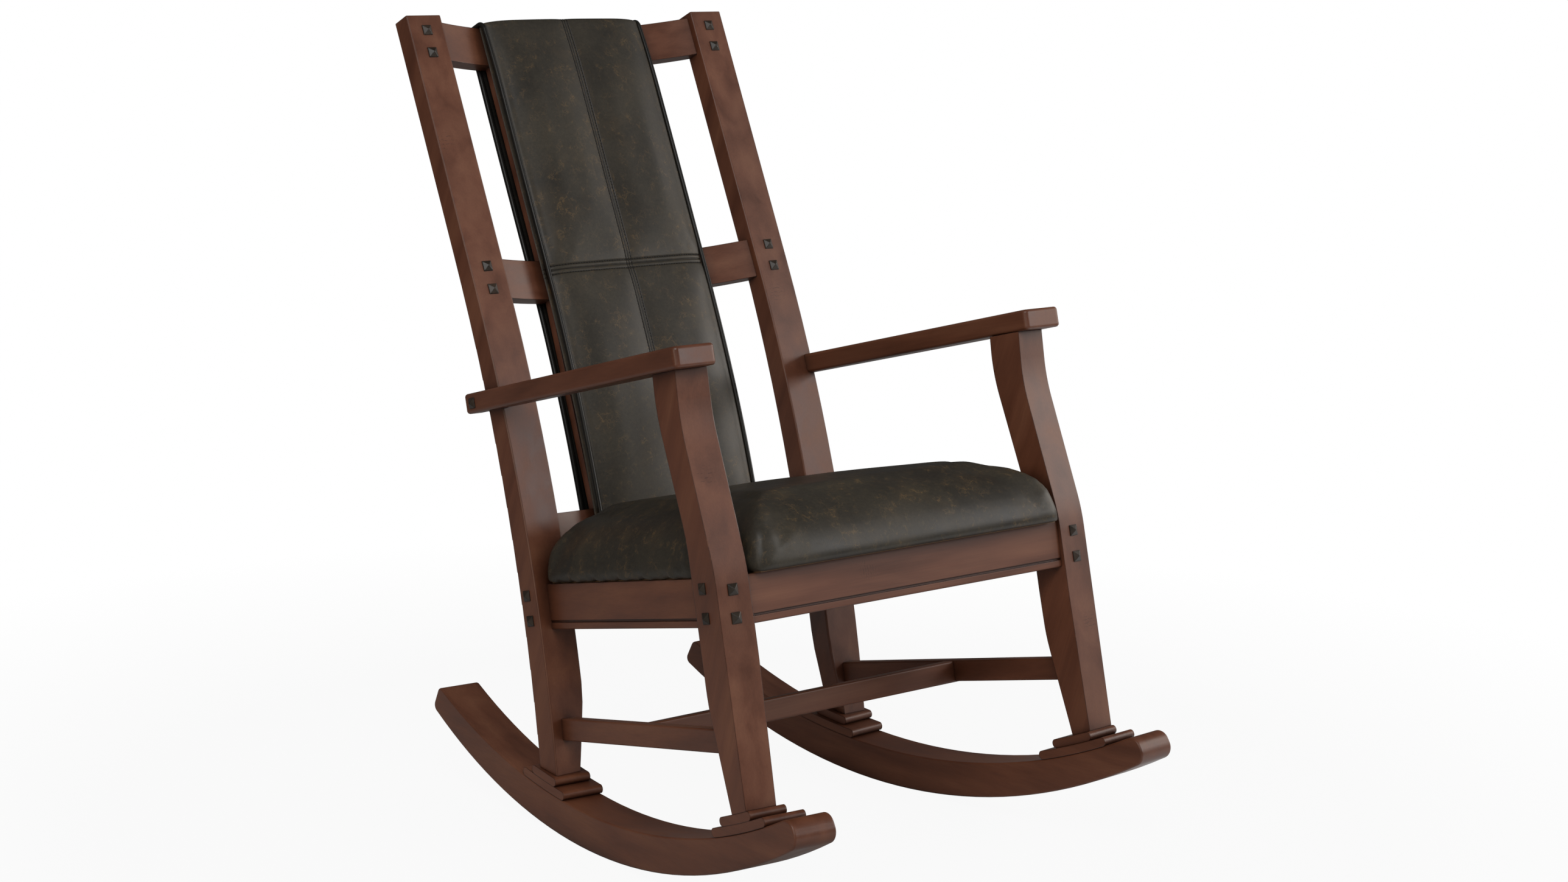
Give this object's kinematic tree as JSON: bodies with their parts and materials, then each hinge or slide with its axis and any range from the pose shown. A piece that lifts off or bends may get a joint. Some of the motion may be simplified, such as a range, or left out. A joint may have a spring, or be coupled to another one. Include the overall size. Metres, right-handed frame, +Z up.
{
  "type": "rocking chair",
  "caption": "Wooden rocking chair with curved toed-in rockers, stepped feet, broad sloping arms, bowed pegged back rails and a thick leather seat and back pad.",
  "frame": {"origin": "centre of the bounding box in plan, at floor level where the rockers touch", "axes": "+Z up, -Y towards the front of the chair, +X towards the sitter's left"},
  "size_m": [0.6828, 1.0224, 1.1108],
  "materials": {
    "frame_wood": "satin",
    "peg_wood": "satin",
    "panel_wood": "matte",
    "seat_leather": "satin",
    "back_leather": "satin",
    "piping_leather": "satin",
    "pad_foam": "matte",
    "screw_steel": "satin"
  },
  "bodies": {
    "root": {"arm_left": "frame_wood", "arm_right": "frame_wood", "arm_tail_pegs": "peg_wood", "back_pad_core": "pad_foam", "back_pad_cover": "back_leather", "back_pad_top_roll": "back_leather", "back_panel_rear": "back_leather", "back_piping": "piping_leather", "back_post_left": "frame_wood", "back_post_right": "frame_wood", "corner_block_front_left": "panel_wood", "corner_block_front_right": "panel_wood", "corner_block_rear_left": "panel_wood", "corner_block_rear_right": "panel_wood", "corner_block_screws": "screw_steel", "crest_rail": "frame_wood", "crest_rail_pegs": "peg_wood", "cross_stretcher": "frame_wood", "foot_block_lower_front_left": "frame_wood", "foot_block_lower_front_right": "frame_wood", "foot_block_lower_rear_left": "frame_wood", "foot_block_lower_rear_right": "frame_wood", "foot_block_upper_front_left": "frame_wood", "foot_block_upper_front_right": "frame_wood", "foot_block_upper_rear_left": "frame_wood", "foot_block_upper_rear_right": "frame_wood", "foot_dowels": "panel_wood", "front_apron": "frame_wood", "front_apron_pegs": "peg_wood", "front_leg_left": "frame_wood", "front_leg_right": "frame_wood", "lower_back_rail": "frame_wood", "mid_rail": "frame_wood", "mid_rail_pegs": "peg_wood", "rear_apron": "frame_wood", "rocker_left": "frame_wood", "rocker_right": "frame_wood", "seat_board": "panel_wood", "seat_cushion": "seat_leather", "seat_screws": "screw_steel", "side_apron_front_pegs": "peg_wood", "side_apron_left": "frame_wood", "side_apron_rear_pegs": "peg_wood", "side_apron_right": "frame_wood", "side_stretcher_left": "frame_wood", "side_stretcher_right": "frame_wood", "splat_lower": "panel_wood", "splat_upper": "panel_wood"}
  },
  "joints": []
}
